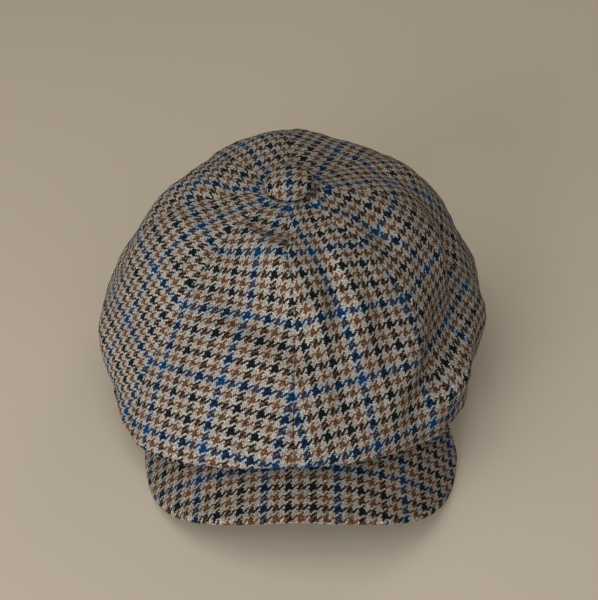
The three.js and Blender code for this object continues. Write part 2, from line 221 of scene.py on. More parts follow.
weave = {
    "stripe": 4.0,           # threads in a stripe
    "course": 4.0,           # stripes in a check: dark, light, brown, light
    "brownPlace": 2.0,       # number of the brown stripe, counted from the dark one's 0
    "overcheck": 3.0,        # every third dark stripe is blue
    "float": 2.0,            # threads that each thread passes over and under
    "swell": 0.32,           # how far the thicker dark threads press the brown ones together, in threads
    "eachSet": 0.5,          # share of the warp and of the weft in a colour that spreads
    "bleed": 5.0,            # threads over which a blue stripe tints its neighbours
    "apart": 40.0, "ownApart": 71.0,   # how far the weft's noise and its threads' shades lie from the warp's
    "wander": 0.5, "wanderScale": 0.16,   # how far a thread strays, in threads
    "fuzz": 0.9, "fuzzScale": 0.8, "fuzzDetail": 3.0, "fuzzRough": 0.6,   # ragged edges of each thread
    "own": 0.24,             # shade of a whole thread
    "slub": 0.6, "slubAcross": 3.7, "slubAlong": 0.22, "slubDetail": 3.0,   # of its thick stretches
    "fibre": 2.2, "fibreAcross": 5.3, "fibreAlong": 0.9, "fibreDetail": 2.0, "fibreRough": 0.7,
    "fleck": 3.0, "fleckScale": 0.65, "fleckDetail": 4.0, "fleckRough": 0.7,   # flecks a thread or two wide
    "pink": (1.22, 0.915, 0.92, 1), "straw": (0.92, 1.05, 0.90, 1),   # tints spun into the yarn
    "melange": 2.0, "melangeShift": -0.5, "melangeScale": 0.3, "melangeDetail": 2.0, "melangeRough": 0.7,
    "heather": 4.0, "heatherShare": 0.17, "heatherLight": (0.36, 0.215, 0.135, 1),   # pale hairs in the brown
    "ply": 3.6, "plyShift": -0.85,        # how the blue yarn and the dark one twisted with it take turns
    "gapShade": 0.32, "crest": 1.1, "darkest": 0.05,   # painted shade between threads, painted light on their backs, and the darkest it may get
    "arch": 0.65, "fibreHeight": 0.35,            # how far a float bows up, and its fibres
    "rough": 0.78, "roughSpread": 0.2,
    "light": ((0.515, 0.548, 0.575, 1), (0.59, 0.528, 0.465, 1), (0.385, 0.495, 0.64, 1)),
    "brown": ((0.070, 0.050, 0.039, 1), (0.106, 0.060, 0.037, 1), (0.028, 0.048, 0.080, 1)),
    "dark": ((0.0120, 0.0165, 0.0225, 1), (0.0180, 0.0150, 0.0135, 1)),
    "blue": ((0.007, 0.029, 0.086, 1), (0.007, 0.063, 0.195, 1)),   # alone and crossing another
}   # light and brown are given beside dark, brown and blue stripes, dark beside the first two


def tweedGroup():
    # a 2/2 twill: thread numbers give the stripe of warp and weft, their sum gives the one on top
    b, given, result = newGroup(
        "tweedCheck",
        [("Threads", "NodeSocketVector", None), ("Fleck", "NodeSocketFloat", 1.0)],
        [("Color", "NodeSocketColor"), ("Height", "NodeSocketFloat"), ("Roughness", "NodeSocketFloat")])
    check = weave["stripe"] * weave["course"]
    repeat = check * weave["overcheck"]
    flat = given.outputs["Threads"]
    split = b.add("ShaderNodeSeparateXYZ")
    b.feed(split.inputs[0], flat)
    swapped = b.vector(split.outputs[1], split.outputs[0], weave["apart"])
    strayed, warm, nearBlue = [], weave["eachSet"], 0.0
    for place, field in ((split.outputs[0], flat), (split.outputs[1], swapped)):
        slow = b.offMean(b.noise(field, weave["wanderScale"]))
        quick = b.offMean(b.noise(field, weave["fuzzScale"], weave["fuzzDetail"], weave["fuzzRough"]))
        place = b.math("MULTIPLY_ADD", slow, weave["wander"] * 2, place)
        fromDark = b.math("SUBTRACT", place, weave["stripe"] / 2)
        angle = b.math("MULTIPLY", fromDark, 2 * math.pi / check)
        pressed = b.math("MULTIPLY_ADD", b.math("SINE", angle), -weave["swell"], place)
        strayed.append(b.math("MULTIPLY_ADD", quick, weave["fuzz"] * 2, pressed))
        # colours spread softly: warm is a cosine, highest in the brown stripes; nearBlue is a round bell
        warm = b.math("MULTIPLY_ADD", b.math("COSINE", angle), -weave["eachSet"] / 2, warm)
        offBlue = b.math("SUBTRACT", b.wrap(b.math("ADD", fromDark, repeat / 2), repeat), repeat / 2)
        offBlue = b.math("DIVIDE", offBlue, weave["bleed"])
        bell = b.math("MAXIMUM", b.math("SUBTRACT", 1.0, b.math("MULTIPLY", offBlue, offBlue)), 0.0)
        nearBlue = b.math("MULTIPLY_ADD", bell, weave["eachSet"], nearBlue)
    x, y = strayed
    i, j = b.math("FLOOR", x), b.math("FLOOR", y)
    fx, fy = b.math("SUBTRACT", x, i), b.math("SUBTRACT", y, j)
    phase = b.wrap(b.math("ADD", i, j), weave["float"] * 2)
    weft = b.math("GREATER_THAN", phase, weave["float"] - midway)   # 1 where the weft lies on top
    thread = b.choose(weft, i, j)
    across = b.choose(weft, fx, fy)
    along = b.choose(weft, y, x)

    # yarn: each thread has its own shade, thick and thin stretches, fibres along it and flecks
    own = b.dice(b.vector(thread, b.math("MULTIPLY", weft, weave["ownApart"])))
    thick = b.math("MULTIPLY", thread, weave["slubAcross"]), b.math("MULTIPLY", along, weave["slubAlong"])
    slub = b.noise(b.vector(*thick, weft), 1.0, weave["slubDetail"])
    fine = b.math("MULTIPLY", thread, weave["fibreAcross"]), b.math("MULTIPLY", along, weave["fibreAlong"])
    fibre = b.noise(b.vector(*fine, across), 1.0, weave["fibreDetail"], weave["fibreRough"])
    speck = b.noise(flat, weave["fleckScale"], weave["fleckDetail"], weave["fleckRough"])

    # colour: the stripe's own yarn, mixed towards its neighbours and tinted by the fibres spun into it
    stripe = b.math("FLOOR", b.math("DIVIDE", thread, weave["stripe"]))
    place = b.wrap(stripe, weave["course"])
    course = b.math("FLOOR", b.math("DIVIDE", stripe, weave["course"]))
    isBlue = b.math("LESS_THAN", b.wrap(course, weave["overcheck"]), midway)
    isDark = b.math("LESS_THAN", place, midway)
    isBrown = b.math("COMPARE", place, weave["brownPlace"], midway)
    pale, tan = (b.colour(nearBlue, b.colour(warm, byDark, byBrown), byBlue)
                 for byDark, byBrown, byBlue in (weave["light"], weave["brown"]))
    carded = b.held(b.math("MULTIPLY_ADD", b.offMean(fibre), weave["heather"], weave["heatherShare"]))
    colour = b.colour(isBrown, pale, b.colour(carded, tan, weave["heatherLight"]))
    ply = b.held(b.math("MULTIPLY_ADD", slub, weave["ply"], weave["plyShift"]))
    blueShare = b.math("MULTIPLY", isBlue, ply)
    deep = b.colour(blueShare, b.colour(warm, *weave["dark"]), b.colour(nearBlue, *weave["blue"]))
    colour = b.colour(isDark, colour, deep)
    mixed = b.noise(swapped, weave["melangeScale"], weave["melangeDetail"], weave["melangeRough"])
    mixed = b.math("MULTIPLY_ADD", mixed, weave["melange"], weave["melangeShift"])
    colour = b.colour(1.0, colour, b.colour(mixed, weave["pink"], weave["straw"]), "MULTIPLY")

    # height: the half circle of a thread's back, arched by half a sine along each float
    ahead = b.math("ADD", b.math("SUBTRACT", phase, weave["float"]), fx)
    floatAt = b.choose(weft, b.math("ADD", phase, fy), ahead)
    arch = b.math("SINE", b.math("MULTIPLY", floatAt, math.pi / weave["float"]))
    bowed = b.math("SUBTRACT", b.math("MULTIPLY", across, 2.0), 1.0)
    roundness = b.math("SUBTRACT", 1.0, b.math("MULTIPLY", bowed, bowed))
    height = b.math("MULTIPLY", b.math("SQRT", b.math("MAXIMUM", roundness, 0.0)),
                    b.math("MULTIPLY_ADD", b.math("MAXIMUM", arch, 0.0), weave["arch"], 1 - weave["arch"]))
    shade = 1.0
    for part, share in ((own, "own"), (slub, "slub"), (fibre, "fibre"), (speck, "fleck")):
        shade = b.math("MULTIPLY_ADD", b.offMean(part), weave[share], shade)
    shade = b.math("MULTIPLY_ADD", b.math("SUBTRACT", shade, 1.0), given.outputs["Fleck"], 1.0)
    # painted shade: the colour darkens in the gaps between threads and brightens on their backs, by thread height
    paintedThreadShade = b.math("MULTIPLY_ADD", height, weave["crest"] - weave["gapShade"], weave["gapShade"])
    shade = b.math("MAXIMUM", b.math("MULTIPLY", shade, paintedThreadShade), weave["darkest"])
    b.feed(result.inputs["Color"], b.shaded(colour, (shade, shade, shade)))
    b.feed(result.inputs["Height"], b.math("MULTIPLY_ADD", fibre, weave["fibreHeight"], height))
    b.feed(result.inputs["Roughness"], b.math("MULTIPLY_ADD", fibre, weave["roughSpread"], weave["rough"]))
    return b.tree


tweed = tweedGroup()
nap = {"patchDetail": 3.0, "sheenRough": 0.45, "sheenTint": (0.9, 0.82, 0.72, 1), "specular": 0.02}


def clothMaterial(name, values):
    # the shared check on a piece's own thread coordinates, with a soft nap from the shader's sheen
    material = bpy.data.materials.new(name)
    material.use_nodes = True
    tree = material.node_tree
    b = Nodes(tree)
    shader = tree.nodes["Principled BSDF"]
    flat = b.add("ShaderNodeUVMap", uv_map="threads")
    check = b.add("ShaderNodeGroup", node_tree=tweed)
    b.feed(check.inputs["Threads"], flat.outputs[0])
    b.feed(check.inputs["Fleck"], values["fleck"])
    where = b.add("ShaderNodeTexCoord")
    worn = b.offMean(b.noise(where.outputs["Object"], values["patchScale"], nap["patchDetail"]))
    # random patches of tone per channel, times tone: below 1 it is painted shade, a darker copy of the same cloth
    shares = [b.math("MULTIPLY_ADD", worn, values["patch"], tone) for tone in values["tone"]]
    b.feed(shader.inputs["Base Color"], b.shaded(check.outputs["Color"], shares))
    b.feed(shader.inputs["Roughness"], check.outputs["Roughness"])
    bump = b.add("ShaderNodeBump")
    bump.inputs["Strength"].default_value = values["bump"]
    bump.inputs["Distance"].default_value = values["depth"] * mm
    b.feed(bump.inputs["Height"], check.outputs["Height"])
    b.feed(shader.inputs["Normal"], bump.outputs[0])
    shader.inputs["Sheen Weight"].default_value = values["sheen"]
    shader.inputs["Sheen Roughness"].default_value = nap["sheenRough"]
    shader.inputs["Sheen Tint"].default_value = nap["sheenTint"]
    shader.inputs["Specular IOR Level"].default_value = nap["specular"]
    return material


# Band: an upright oval ring, lifted at the front because the cap leans back on its peak

band = {
    "halfWidth": 82.5, "halfLength": 103.5, "wall": 2.5, "height": 24.0, "frontRise": 39.0,
    "x": 5.2, "turn": -2.1,          # the soft crown has slipped a little to one side of the band
    "round": 0.8, "roundSteps": 5, "steps": 256,
    "ribs": 520.0,                   # cross ribs of the tape around the head
    "ribPitch": 0.35,                # between threads up the tape, mm
    "tape": (0.030, 0.024, 0.020, 1), "tapePaintedLight": (0.075, 0.060, 0.048, 1), "paintedLightShare": 0.7,
    "yarnScale": 0.8, "yarnDetail": 3.0, "threadHeight": 0.35, "rough": 0.6, "roughSpread": 0.2,
    "bump": 0.6, "depth": 0.15, "sheen": 0.1, "specular": 0.25,
}


def fromBand(points):
    # points drawn about the band's own middle, turned and moved to the crown's middle
    cos, sin = math.cos(math.radians(band["turn"])), math.sin(math.radians(band["turn"]))
    x, y, z = points[..., 0], points[..., 1], points[..., 2]
    return np.stack([x * cos - y * sin + band["x"], x * sin + y * cos, z], -1)


def toBand(x, y):
    # the way back, for the two level coordinates
    cos, sin = math.cos(math.radians(band["turn"])), math.sin(math.radians(band["turn"]))
    return (x - band["x"]) * cos + y * sin, y * cos - (x - band["x"]) * sin


def bandMeets(azimuth):
    # where a line out from the crown's middle meets the band's oval: the root of a quadratic in the radius
    turn = np.radians(azimuth)
    fromX, fromY = toBand(0.0, 0.0)
    toX, toY = toBand(np.sin(turn), -np.cos(turn))
    wayX, wayY = toX - fromX, toY - fromY
    wide, long = band["halfWidth"] ** 2, band["halfLength"] ** 2
    square = wayX**2 / wide + wayY**2 / long
    both = fromX * wayX / wide + fromY * wayY / long
    rest = fromX**2 / wide + fromY**2 / long - 1
    radius = (np.sqrt(both**2 - square * rest) - both) / square
    return radius, fromY + radius * wayY


def bandFoot(y):
    # height of the band's lower edge: level across, rising evenly to the front
    return band["frontRise"] * (band["halfLength"] - y) / (2 * band["halfLength"])


def bandMaterial():
    # a ribbed tape: ribs and the threads across them are sines without their sign, with painted light on their
    # backs and painted shade between them
    material = bpy.data.materials.new("bandTape")
    material.use_nodes = True
    tree = material.node_tree
    b = Nodes(tree)
    shader = tree.nodes["Principled BSDF"]
    flat = b.add("ShaderNodeUVMap", uv_map="threads")
    split = b.add("ShaderNodeSeparateXYZ")
    b.feed(split.inputs[0], flat.outputs[0])
    rib = b.math("ABSOLUTE", b.math("SINE", b.math("MULTIPLY", split.outputs[0], math.pi)))
    thread = b.math("ABSOLUTE", b.math("SINE", b.math("MULTIPLY", split.outputs[1], math.pi)))
    yarn = b.noise(flat.outputs[0], band["yarnScale"], band["yarnDetail"])
    height = b.math("MULTIPLY_ADD", thread, band["threadHeight"], rib)
    # painted light: the tape's colour is paler on the high backs of ribs and threads, varied by yarn noise
    share = b.math("MULTIPLY", b.math("MULTIPLY", height, band["paintedLightShare"]), yarn)
    b.feed(shader.inputs["Base Color"], b.colour(share, band["tape"], band["tapePaintedLight"]))
    b.feed(shader.inputs["Roughness"], b.math("MULTIPLY_ADD", yarn, band["roughSpread"], band["rough"]))
    bump = b.add("ShaderNodeBump")
    bump.inputs["Strength"].default_value = band["bump"]
    bump.inputs["Distance"].default_value = band["depth"] * mm
    b.feed(bump.inputs["Height"], height)
    b.feed(shader.inputs["Normal"], bump.outputs[0])
    shader.inputs["Sheen Weight"].default_value = band["sheen"]
    shader.inputs["Specular IOR Level"].default_value = band["specular"]
    return material


def makeBand():
    # a rounded upright rectangle carried around the oval: each corner is a quarter circle
    quarter = np.pi / 2
    bend = np.linspace(0, quarter, band["roundSteps"])
    near, far, high = band["round"], band["wall"] - band["round"], band["height"] - band["round"]
    corners = [(near, near, 2 * quarter), (far, near, 3 * quarter), (far, high, 0.0), (near, high, quarter)]
    inset = np.concatenate([at + band["round"] * np.cos(start + bend) for at, _, start in corners])
    up = np.concatenate([at + band["round"] * np.sin(start + bend) for _, at, start in corners])
    inset, up = np.append(inset, inset[0]), np.append(up, up[0])
    turn = np.linspace(0, 2 * np.pi, band["steps"] + 1)[:, None]
    x = (band["halfWidth"] - inset) * np.sin(turn)
    y = -(band["halfLength"] - inset) * np.cos(turn)
    points = settled(fromBand(np.stack([x, y, bandFoot(y) + up], -1)))
    run = np.append(0, np.cumsum(np.hypot(np.diff(inset), np.diff(up))))
    ribs = np.broadcast_to(turn / (2 * np.pi) * band["ribs"], x.shape)
    threads = np.stack([ribs, np.broadcast_to(run / band["ribPitch"], x.shape)], -1)
    steps, loop = band["steps"], len(inset) - 1
    i, j = np.meshgrid(np.arange(steps), np.arange(loop), indexing="ij")
    ahead, beside = (i + 1) % steps, (j + 1) % loop
    faces = np.stack([i * loop + j, i * loop + beside, ahead * loop + beside, ahead * loop + j], -1)
    faceThreads = np.stack([threads[:-1, :-1], threads[:-1, 1:], threads[1:, 1:], threads[1:, :-1]], 2)
    return meshPiece("headBand", points[:-1, :-1], faces.reshape(-1, 4).tolist(), faceThreads,
                     bandMaterial(), ["band"])


# Crown: eight soft gores

seams = {  # one value for each seam, every 45 degrees from the front towards +X, mm
    "crestR": np.array([68.5, 72, 73, 98.5, 88, 70.5, 81.5, 73.5]),
    "crestZ": np.array([137, 135, 133.5, 127.5, 142.5, 140, 131.5, 129]),
    "rimR": np.array([151, 134, 128, 155.5, 136.5, 137.5, 131, 144.5]),
    "rimZ": np.array([42, 14, 40, 22, 14, 18, 37, 9.5]),
    "sag": np.array([3.5, 1, 2.5, 2.5, 1, 2.5, 2.5, 1]),
    "swayHigh": np.array([-5, -9, 0, 0, 0, 0, 0, -5.5]),   # how far it strays sideways near the button
    "swayLow": np.array([-3.5, 4, 0, 0, 0, 0, 0, -11]),     # and lower down
    "roll": np.array([1.8, 1.2, 0.4, 0.3, 0.3, 0.3, 0.4, 1.2]),     # share of the roll and puckers beside it
}
crown = {
    "topZ": 139.3, "cloth": 2.0, "seamGap": 0.24, "wallGap": 0.4, "tip": 5.0, "joinUp": 9.0,
    "crestRound": 0.45, "rimRoundSlope": 0.32, "rimRoundUnder": 0.6, "roundSteps": 48,
    "rows": 170, "cols": 72, "crowdEdges": 0.7, "slopeStep": 0.5,
    "puff": 0.7, "puffShape": 2.5, "puffStart": 15.0, "puffRise": 45.0, "puffFall": 40.0,
    "swayAt": 52.0, "swayWidth": 38.0, "swayStart": 80.0, "swayRise": 80.0, "swayFade": 30.0,
    "swayCore": 20.0,
    "groove": 0.45, "grooveWidth": 1.3, "grooveStart": 14.0, "grooveRise": 24.0,   # the roll into each seam
    "pucker": 0.2, "puckerPitch": 9.0, "puckerWidth": 6.0,
    "puckerStray": 1.7, "puckerDrift": 17.0, "puckerShift": 2.1,   # how far puckers stray from an even pitch
    "gather": 0.15, "gatherCount": 26, "gatherAt": 19.0, "gatherWidth": 6.0,
    "gatherStray": 0.8, "gatherDrift": 3.0,
    "waves": ((0.45, 34.0, 11), (0.16, 11.0, 12)),    # height, length and seed of each soft unevenness
    "detailFade": 12.0,                               # mm over which fine detail fades to the band
    "warpPitch": 0.82, "weftPitch": 0.80, "blueRow": 20.7, "blueMiddle": 2.0,
    "blueColumn": (8.5, 7.5, 7.5, 7.5, 7.5, 7.5, 4.0, 6.3),   # of each gore, from its middle to the front
    "look": {"tone": (1.0, 1.0, 1.0), "fleck": 1.0, "patch": 0.16, "patchScale": 14.0,
             "bump": 0.8, "depth": 0.35, "sheen": 0.05},
}
folds = [  # place on the crown, push in (-) or out (+), half length, half width and turn of each fold
    dict(azimuth=-7, along=40, push=-4.5, length=17, width=8.5, turn=24),
    dict(azimuth=-16, along=42, push=-3, length=13, width=4, turn=24),
    dict(azimuth=-15, along=98, push=-9, length=39, width=11.5, turn=22),
    dict(azimuth=-14, along=106, push=-2, length=26, width=5, turn=22),
    dict(azimuth=-25, along=71, push=-7, length=46, width=17.5, turn=24),
    dict(azimuth=3, along=85, push=5.5, length=41, width=11, turn=65),
    dict(azimuth=16.5, along=91, push=-4.5, length=53, width=7, turn=100),
    dict(azimuth=24, along=90, push=3, length=38, width=8, turn=95),
    dict(azimuth=58, along=65, push=-4, length=18, width=8.5, turn=113),
    dict(azimuth=36, along=134, push=6.5, length=40, width=15.5, turn=128),
    dict(azimuth=44, along=143, push=-4.5, length=32, width=7.5, turn=143),
    dict(azimuth=70, along=132, push=-4.5, length=54, width=12, turn=159),
    dict(azimuth=52, along=164, push=10, length=37, width=10.5, turn=167),
    dict(azimuth=79, along=95, push=5, length=21, width=15.5, turn=136),
    dict(azimuth=94, along=102, push=-4, length=50, width=17, turn=122),
    dict(azimuth=84, along=158, push=2.5, length=20, width=22, turn=0),
    dict(azimuth=0, along=188, push=3, length=26, width=20, turn=0),
    dict(azimuth=72, along=186, push=-1, length=20, width=26, turn=0),
    dict(azimuth=-72, along=186, push=-2, length=20, width=26, turn=0),
    dict(azimuth=31, along=190, push=-4.5, length=22, width=26, turn=0),
    dict(azimuth=-26, along=190, push=1, length=24, width=26, turn=0),
    dict(azimuth=62, along=172, push=-5, length=18, width=18, turn=0),
    dict(azimuth=-58, along=182, push=-6.5, length=18, width=20, turn=0),
    dict(azimuth=116, along=84, push=2, length=28, width=26, turn=0),
    dict(azimuth=158, along=82, push=-2, length=24, width=24, turn=0),
]


def around(column, azimuth):
    # closed Catmull-Rom curve through the eight seam values
    values = seams[column]
    place = np.mod(azimuth, 2 * halfTurn) / seamStep
    row = np.floor(place).astype(int)
    t = place - row
    a, b, c, d = (values[(row + k) % len(values)] for k in (-1, 0, 1, 2))
    cubic = (3 * b - a - 3 * c + d) * t**3 + (2 * a - 5 * b + 4 * c - d) * t**2
    return b + ((c - a) * t + cubic) / 2


def meridians(azimuth):
    # each half section: straight to a rounded crest, down to a rounded rim, then a sagging hem to the band
    steps = np.linspace(0, 1, crown["roundSteps"])[None, :, None]
    reach = lambda a, b: np.linalg.norm(b - a, axis=1)
    toward = lambda a, b, cut: a + (b - a) * (cut / reach(a, b))[:, None]
    blend = lambda a, b: a[:, None] + (b - a)[:, None] * steps
    bend = lambda a, b, c: blend(a, b) * (1 - steps) + blend(b, c) * steps
    wall, place = bandMeets(azimuth)
    top = np.stack([0 * wall, 0 * wall + crown["topZ"]], -1)
    crest = np.stack([around("crestR", azimuth), around("crestZ", azimuth)], -1)
    rim = np.stack([around("rimR", azimuth), around("rimZ", azimuth)], -1)
    join = np.stack([wall + crown["wallGap"], bandFoot(place) + crown["joinUp"]], -1)
    crestCut = crown["crestRound"] * np.minimum(reach(crest, top), reach(crest, rim))
    rimCut = np.minimum(crown["rimRoundSlope"] * reach(rim, crest), crown["rimRoundUnder"] * reach(rim, join))
    hemStart = toward(rim, join, rimCut)
    hem = blend(hemStart, join)[:, 1:]
    hem[..., 1] -= around("sag", azimuth)[:, None] * np.sin(np.pi * steps[:, 1:, 0]) ** 2
    line = np.concatenate([
        top[:, None],
        bend(toward(crest, top, crestCut), crest, toward(crest, rim, crestCut)),
        bend(toward(rim, crest, rimCut), rim, hemStart), hem], 1)
    run = np.cumsum(np.linalg.norm(np.diff(line, axis=1), axis=2), 1)
    return line, np.concatenate([np.zeros((len(run), 1)), run], 1)


def pointsAt(line, run, along):
    # each meridian read at the lengths along it
    along = np.clip(along, 0, run[:, -1:])
    after = np.clip((run[:, :, None] <= along[:, None, :]).sum(1), 1, run.shape[1] - 1)
    start = np.take_along_axis(run, after - 1, 1)
    share = (along - start) / np.maximum(np.take_along_axis(run, after, 1) - start, tiny)
    a = np.take_along_axis(line, (after - 1)[..., None], 1)
    b = np.take_along_axis(line, after[..., None], 1)
    return a + (b - a) * share[..., None]


def crownPush(azimuth, along, length, radius):
    # belly of each gore between its seams, then the folds as turned bell curves
    across = np.abs(2 * np.mod(azimuth, seamStep) / seamStep - 1)
    rise = clearDown((along - crown["puffStart"]) / crown["puffRise"])
    fall = clearDown((length - along) / crown["puffFall"])
    push = crown["puff"] * (1 - across ** crown["puffShape"]) * rise * fall
    for fold in folds:
        turned = np.mod(azimuth - fold["azimuth"] + halfTurn, 2 * halfTurn) - halfTurn
        side, down = np.radians(turned) * radius, along - fold["along"]
        slant = math.radians(fold["turn"])
        u = side * math.cos(slant) + down * math.sin(slant)
        v = down * math.cos(slant) - side * math.sin(slant)
        push = push + fold["push"] * np.exp(-((u / fold["length"]) ** 2) - (v / fold["width"]) ** 2)
    return push


def crownSway(azimuth, along, length, radius):
    # degrees that the cloth has strayed: a bell near the button, an even shift lower down, none at the band
    high = around("swayHigh", azimuth) * np.exp(-(((along - crown["swayAt"]) / crown["swayWidth"]) ** 2))
    low = around("swayLow", azimuth) * clearDown((along - crown["swayStart"]) / crown["swayRise"])
    held = clearDown((length - along) / crown["swayFade"])
    return np.degrees((high + low) * held / np.maximum(radius, crown["swayCore"]))


def crownDetail(azimuth, along, fromSeam, rest):
    # the roll into each seam, small puckers beside it, gathers round the button and soft unevenness
    seamNumber = np.round(azimuth / seamStep).astype(int) % len(seams["roll"])
    stray = crown["puckerStray"] * np.sin(along / crown["puckerDrift"] + seamNumber * crown["puckerShift"])
    ripple = np.sin(2 * np.pi * along / crown["puckerPitch"] + stray)
    clear = clearDown((along - crown["grooveStart"]) / crown["grooveRise"]) * seams["roll"][seamNumber]
    push = -crown["groove"] * clear * np.exp(-((fromSeam / crown["grooveWidth"]) ** 2))
    push = push + crown["pucker"] * clear * ripple * np.exp(-((fromSeam / crown["puckerWidth"]) ** 2))
    ring = np.exp(-(((along - crown["gatherAt"]) / crown["gatherWidth"]) ** 2))
    stray = crown["gatherStray"] * np.sin(along / crown["gatherDrift"])
    push = push + crown["gather"] * ring * np.cos(np.radians(azimuth) * crown["gatherCount"] + stray)
    for height, length, seed in crown["waves"]:
        push = push + height * softWaves(rest, length, seed)
    return push


def spun(r, z, azimuth):
    # a section turned to its azimuth, measured from the front
    turn = np.radians(azimuth)
    return np.stack([r * np.sin(turn), -r * np.cos(turn), z + 0 * turn], -1)


def makeGore(number, material):
    # one panel between two seams; columns crowd to the seams, rows run from the button to the band
    t = np.linspace(-1, 1, crown["cols"] + 1)
    across = (1 - crown["crowdEdges"]) * t + crown["crowdEdges"] * np.sin(t * np.pi / 2)
    middle, half = (number - midway) * seamStep, np.radians(seamStep / 2)
    azimuth = middle + across * seamStep / 2
    line, run = meridians(azimuth)
    length = run[:, -1:]
    share = np.linspace(0, 1, crown["rows"] + 1)[None, :]
    along = crown["tip"] + (length - crown["tip"]) * share
    here = pointsAt(line, run, along)
    way = pointsAt(line, run, along + crown["slopeStep"]) - pointsAt(line, run, along - crown["slopeStep"])
    way /= np.linalg.norm(way, axis=2, keepdims=True)
    columns = azimuth[:, None]
    r, z = here[..., 0], here[..., 1]
    placed = columns + crownSway(columns, along, length, r)
    fromSeam = r * half * (1 - np.abs(across))[:, None]
    push = crownPush(columns, along, length, r)
    detail = crownDetail(columns, along, fromSeam, spun(r, z, placed))
    push = push + detail * clearDown((length - along) / crown["detailFade"])
    trim = np.degrees(crown["seamGap"] / 2 / r) * across[:, None]
    pushed = r - way[..., 1] * push, z + way[..., 0] * push
    outer = spun(*pushed, placed - trim).transpose(1, 0, 2)
    past = spun(*pushed, placed + trim).transpose(1, 0, 2)   # the inside starts past the seam, to narrow its slit
    inner = past - gridNormals(past) * crown["cloth"]
    turn = np.arctan2(inner[-1, :, 0], -inner[-1, :, 1])
    wall = bandMeets(np.degrees(turn))[0] + crown["wallGap"]
    for edge in (outer[-1], inner[-1]):
        edge[:, 0], edge[:, 1] = wall * np.sin(turn), -wall * np.cos(turn)

    # flat gore: width is the arc across, length is the run down less what a curved gore loses at its edges;
    # a blue thread lies at blueColumn and at blueRow
    centre = crown["cols"] // 2
    spread = np.gradient(r[centre], along[centre]) * half
    loss = (1 - 1 / np.sqrt(1 + spread**2)) * np.gradient(along[centre])
    lost = np.interp(along, along[centre], np.cumsum(loss))
    u = r * half * across[:, None]
    v = along - lost * across[:, None] ** 2
    towardFront = -1 if middle < halfTurn else 1
    warp = (u - towardFront * crown["blueColumn"][number - 1]) / crown["warpPitch"] + crown["blueMiddle"]
    weft = (v - crown["blueRow"]) / crown["weftPitch"] + crown["blueMiddle"]
    threads = np.stack([warp, weft], -1).transpose(1, 0, 2)
    points = np.concatenate([outer.reshape(-1, 3), inner.reshape(-1, 3)])
    faces = shellFaces(crown["rows"] + 1, crown["cols"] + 1).tolist()
    piece = meshPiece(f"crownGore{number}", points, faces, np.concatenate([threads, threads]),
                      material, [f"crown_panel_{number}"])
    return piece


# Peak: a cloth-covered board bent on an arc

peak = {
    "arcR": 116.3, "slope": 14.4, "arcTopZ": 48.7, "rootRise": 6.0,
    "halfArc": 113.8, "reach": 64.6, "back": 57.0, "corner": 2.73,
    "thick": 4.0, "noseLength": 2.4, "noseThick": 1.0,
    "bandAngle": 72.0, "edgeAngle": 84.0, "tipStart": 0.86, "tipShare": 0.12,
    "stations": 240, "out": 60, "crowdEdge": 1.7, "crowdMiddle": 1.35,
    "wave": 0.14, "waveLength": 26.0, "waveSeed": 21, "waveRise": 6.0,   # full a sixth of the way out
    "pitch": 0.827, "blueRow": 29.4, "blueMiddle": 2.0, "arcZ": 45.0,
    # tone of the peak: painted shade, the same cloth drawn darker as if under the crown's shade
    "look": {"tone": (0.90, 0.868, 0.835), "fleck": 1.0, "patch": 0.14, "patchScale": 16.0,
             "bump": 0.8, "depth": 0.32, "sheen": 0.05},
}


def peakEdge(turn):
    # a broad crescent with superellipse corners, bent around the arc and sloped to the front
    power = 2 / peak["corner"]
    arc = peak["halfArc"] * np.sign(turn) * np.abs(np.sin(turn)) ** power
    ahead = (peak["reach"] + peak["back"]) * np.abs(np.cos(turn)) ** power - peak["back"]
    bend = arc / peak["arcR"]
    drop = peak["arcR"] * (1 - np.cos(bend))
    fall = math.radians(peak["slope"])
    x = peak["arcR"] * np.sin(bend)
    y = -band["halfLength"] - ahead * math.cos(fall) + drop * math.sin(fall)
    z = peak["arcTopZ"] - ahead * math.sin(fall) - drop * math.cos(fall)
    return np.stack([x, y, z], -1)


